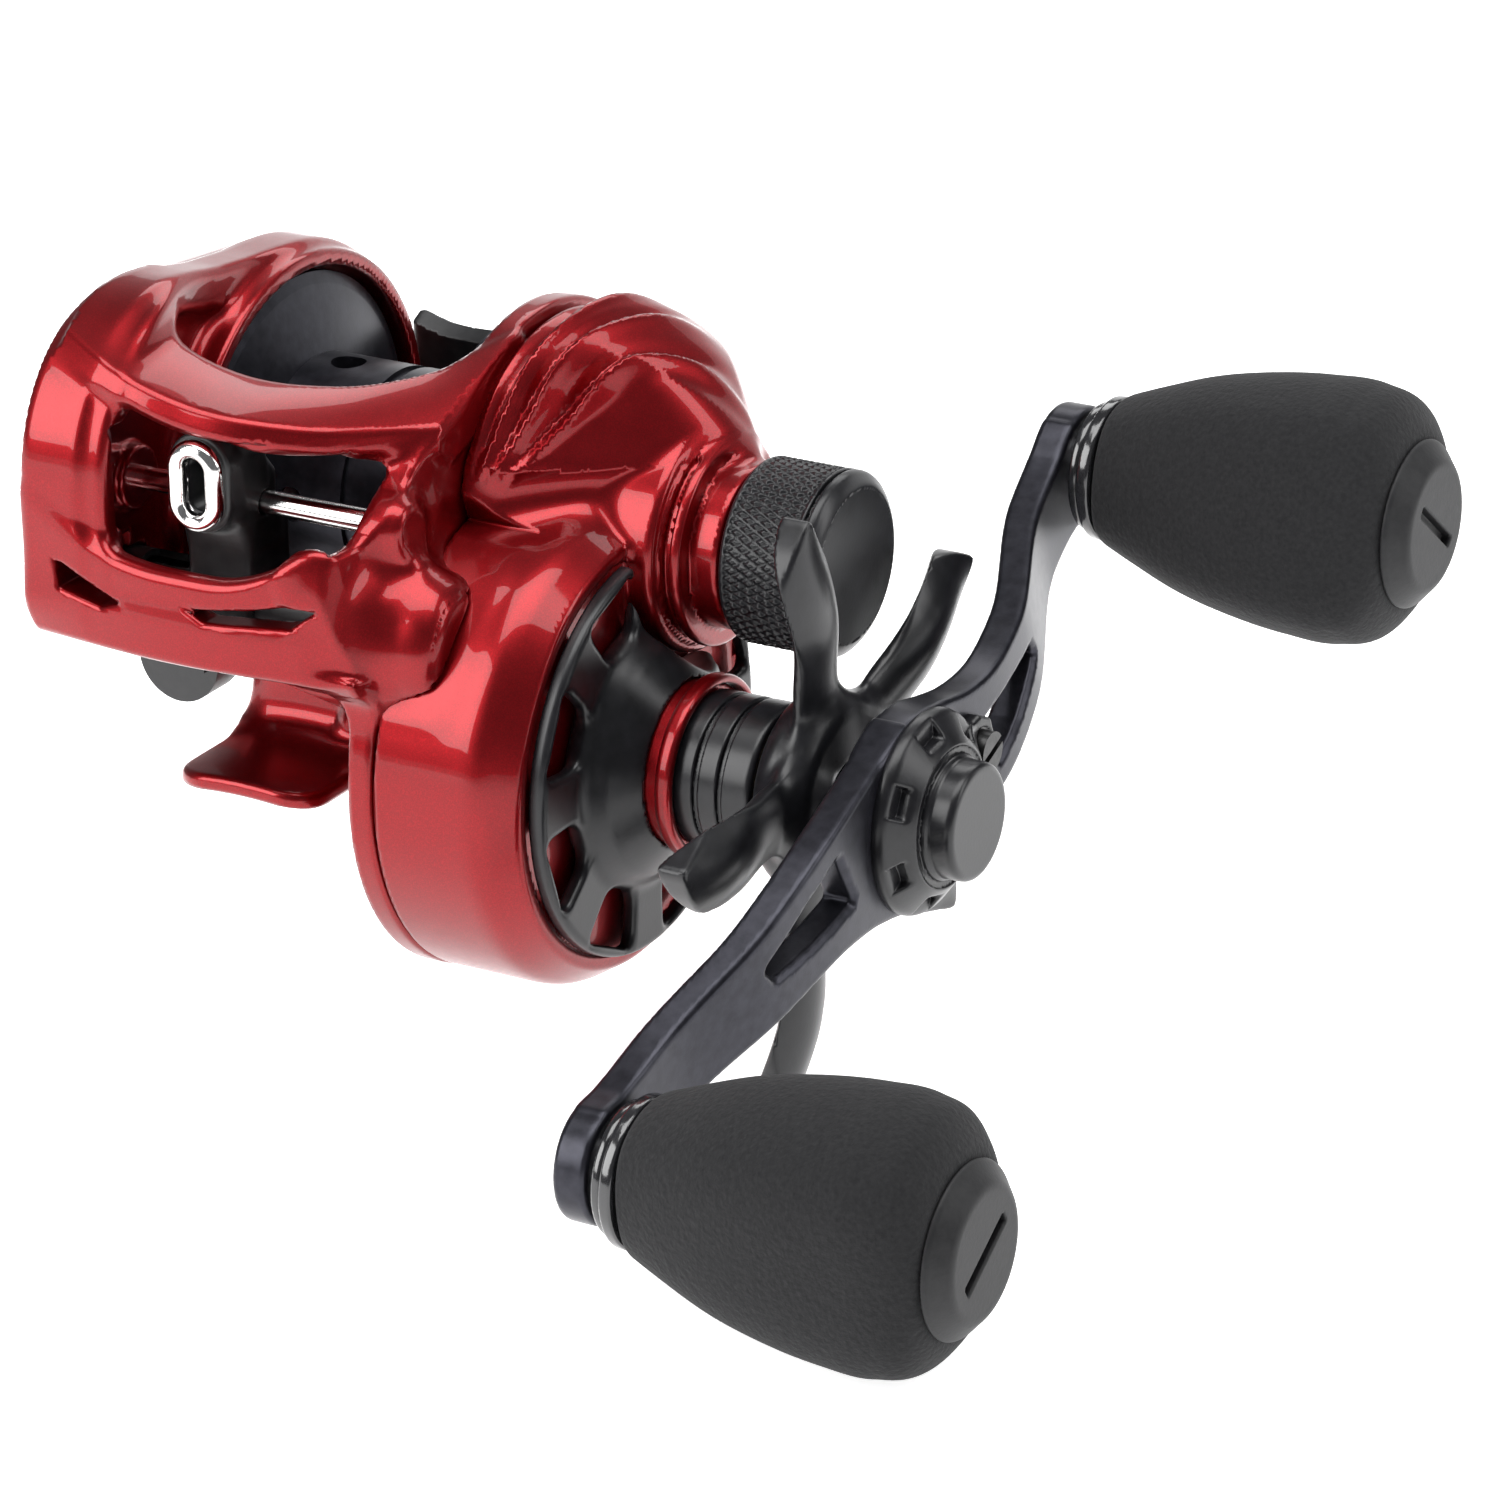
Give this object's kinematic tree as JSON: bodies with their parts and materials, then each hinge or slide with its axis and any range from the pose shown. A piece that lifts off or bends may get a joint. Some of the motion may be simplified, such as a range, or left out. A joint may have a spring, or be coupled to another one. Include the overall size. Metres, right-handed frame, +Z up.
{
  "type": "baitcasting reel",
  "caption": "Low-profile baitcasting reel with a swept double-knob handle, star drag, levelwind line guide and a foot for a rod's reel seat.",
  "frame": {"origin": "centre of the underside of the reel foot, where it rests on the rod", "axes": "+X towards the handle side, -Y towards the rod tip and line guide, +Z up away from the rod"},
  "size_m": [0.1061, 0.0981, 0.0613],
  "materials": {
    "aluminium": "machined",
    "bearing_steel": "ground",
    "black_anodised": "black anodised, bead-blasted",
    "black_gloss": "gloss",
    "black_matte": "matte moulded",
    "black_plastic": "fine moulded texture",
    "black_satin": "satin moulded",
    "brass": "machined",
    "carbon_fibre": "woven fibre",
    "dark_screws": "blackened",
    "eva_foam": "closed-cell foam, matte",
    "grey_anodised": "dark grey anodised",
    "magnet": "nickel plated",
    "nylon": "moulded",
    "polished_steel": "polished",
    "red_paint": "candy red gloss lacquer over metallic base"
  },
  "bodies": {
    "root": {"frame": "red_paint", "handle_side_cover": "red_paint", "vent_ring": "black_satin", "trim_ring": "red_paint", "shaft_collar": "black_satin", "one_way_bearing": "bearing_steel", "cover_screws": "dark_screws", "guide_bar": "polished_steel", "worm_cover": "black_plastic", "main_shaft_bearing": "bearing_steel", "pinion_bearing": "bearing_steel", "tension_bearing": "bearing_steel", "yoke_posts": "bearing_steel", "yoke_springs": "bearing_steel"},
    "palm_side": {"palm_side_cover": "red_paint", "spool_bearing": "bearing_steel"},
    "brake_dial": {"brake_dial": "black_plastic"},
    "magnet_carrier": {"magnet_ring": "magnet"},
    "cover_release": {"release_knob": "black_plastic"},
    "spool": {"spool": "black_anodised", "spool_shaft": "bearing_steel", "brake_rotor": "aluminium"},
    "drive": {"main_shaft": "bearing_steel", "main_gear": "brass", "levelwind_drive_gear": "nylon", "ratchet": "bearing_steel", "drag_washers": "carbon_fibre", "clutch_sleeve": "bearing_steel", "handle_arm": "grey_anodised", "handle_nut": "grey_anodised", "nut_retainer": "black_satin", "retainer_screw": "dark_screws", "knob_spindles": "bearing_steel"},
    "star": {"star_drag": "black_satin", "star_nut": "brass"},
    "rear_knob": {"knob_grip_rear": "eva_foam", "knob_base_rear": "black_gloss", "knob_bushings_rear": "bearing_steel", "knob_cap_rear": "black_matte"},
    "front_knob": {"knob_grip_front": "eva_foam", "knob_base_front": "black_gloss", "knob_bushings_front": "bearing_steel", "knob_cap_front": "black_matte"},
    "tension": {"tension_knob": "black_anodised", "tension_spacer": "nylon"},
    "yoke": {"yoke": "brass"},
    "pinion": {"pinion": "brass"},
    "clutch_cam": {"clutch_cam": "bearing_steel"},
    "worm": {"worm_shaft": "polished_steel", "worm_gear": "nylon"},
    "idler": {"idler_gear": "nylon"},
    "line_guide": {"line_guide": "black_plastic", "eyelet": "polished_steel", "pawl": "brass", "pawl_cap": "bearing_steel"},
    "thumb_bar": {"thumb_bar": "black_plastic"}
  },
  "joints": [
    {"name": "handle_turn", "type": "hinge", "parent": "root", "child": "drive", "pos_m": [0, -0.01, 0.0035], "axis": [1, 0, 0], "continuous": true},
    {"name": "spool_spin", "type": "hinge", "parent": "root", "child": "spool", "pos_m": [0, -0.0012, 0.0195], "axis": [1, 0, 0], "continuous": true},
    {"name": "idler_spin", "type": "hinge", "parent": "root", "child": "idler", "pos_m": [0, -0.02016, 0.00902], "axis": [1, 0, 0], "continuous": true},
    {"name": "worm_spin", "type": "hinge", "parent": "root", "child": "worm", "pos_m": [0, -0.0235, 0.0158], "axis": [1, 0, 0], "continuous": true},
    {"name": "pinion_spin", "type": "hinge", "parent": "yoke", "child": "pinion", "pos_m": [0, -0.0012, 0.0195], "axis": [1, 0, 0], "continuous": true},
    {"name": "guide_slide", "type": "slide", "parent": "root", "child": "line_guide", "axis": [1, 0, 0], "range_m": [-0.0052, 0.0098]},
    {"name": "thumb_bar_press", "type": "slide", "parent": "root", "child": "thumb_bar", "axis": [0, 0, -1], "range_m": [0, 0.004]},
    {"name": "yoke_shift", "type": "slide", "parent": "root", "child": "yoke", "axis": [1, 0, 0], "range_m": [0, 0.0016], "deforming": ["yoke_springs"]},
    {"name": "clutch_cam_turn", "type": "hinge", "parent": "root", "child": "clutch_cam", "pos_m": [0, -0.0012, 0.0195], "axis": [1, 0, 0], "range_deg": [-22, 0]},
    {"name": "star_drag_turn", "type": "hinge", "parent": "drive", "child": "star", "pos_m": [0, -0.01, 0.0035], "axis": [1, 0, 0], "range_deg": [-180, 180]},
    {"name": "rear_knob_spin", "type": "hinge", "parent": "drive", "child": "rear_knob", "pos_m": [0, 0.02946, 0.01928], "axis": [1, 0, 0], "continuous": true},
    {"name": "front_knob_spin", "type": "hinge", "parent": "drive", "child": "front_knob", "pos_m": [0, -0.04946, -0.01228], "axis": [1, 0, 0], "continuous": true},
    {"name": "tension_knob_turn", "type": "hinge", "parent": "root", "child": "tension", "pos_m": [0, -0.0012, 0.0195], "axis": [1, 0, 0], "range_deg": [-180, 180]},
    {"name": "palm_cover_slide", "type": "slide", "parent": "root", "child": "palm_side", "axis": [-1, 0, 0], "range_m": [0, 0.03]},
    {"name": "brake_dial_turn", "type": "hinge", "parent": "palm_side", "child": "brake_dial", "pos_m": [0, -0.0012, 0.0195], "axis": [1, 0, 0], "range_deg": [0, 270]},
    {"name": "magnet_shift", "type": "slide", "parent": "palm_side", "child": "magnet_carrier", "axis": [1, 0, 0], "range_m": [0, 0.003]},
    {"name": "release_knob_turn", "type": "hinge", "parent": "root", "child": "cover_release", "pos_m": [-0.0116, 0, 0.0076], "axis": [0, 1, 0], "range_deg": [0, 90]}
  ],
  "couplings": [
    {"joint": "spool_spin", "follows": "handle_turn", "ratio": -6.6364},
    {"joint": "pinion_spin", "follows": "handle_turn", "ratio": -6.6364},
    {"joint": "idler_spin", "follows": "handle_turn", "ratio": -1.3},
    {"joint": "worm_spin", "follows": "handle_turn", "ratio": 2.6},
    {"joint": "yoke_shift", "follows": "thumb_bar_press", "ratio": 0.4},
    {"joint": "clutch_cam_turn", "follows": "thumb_bar_press", "rad_per_m": -95.557},
    {"joint": "magnet_shift", "follows": "brake_dial_turn", "m_per_rad": 0.0006345}
  ]
}
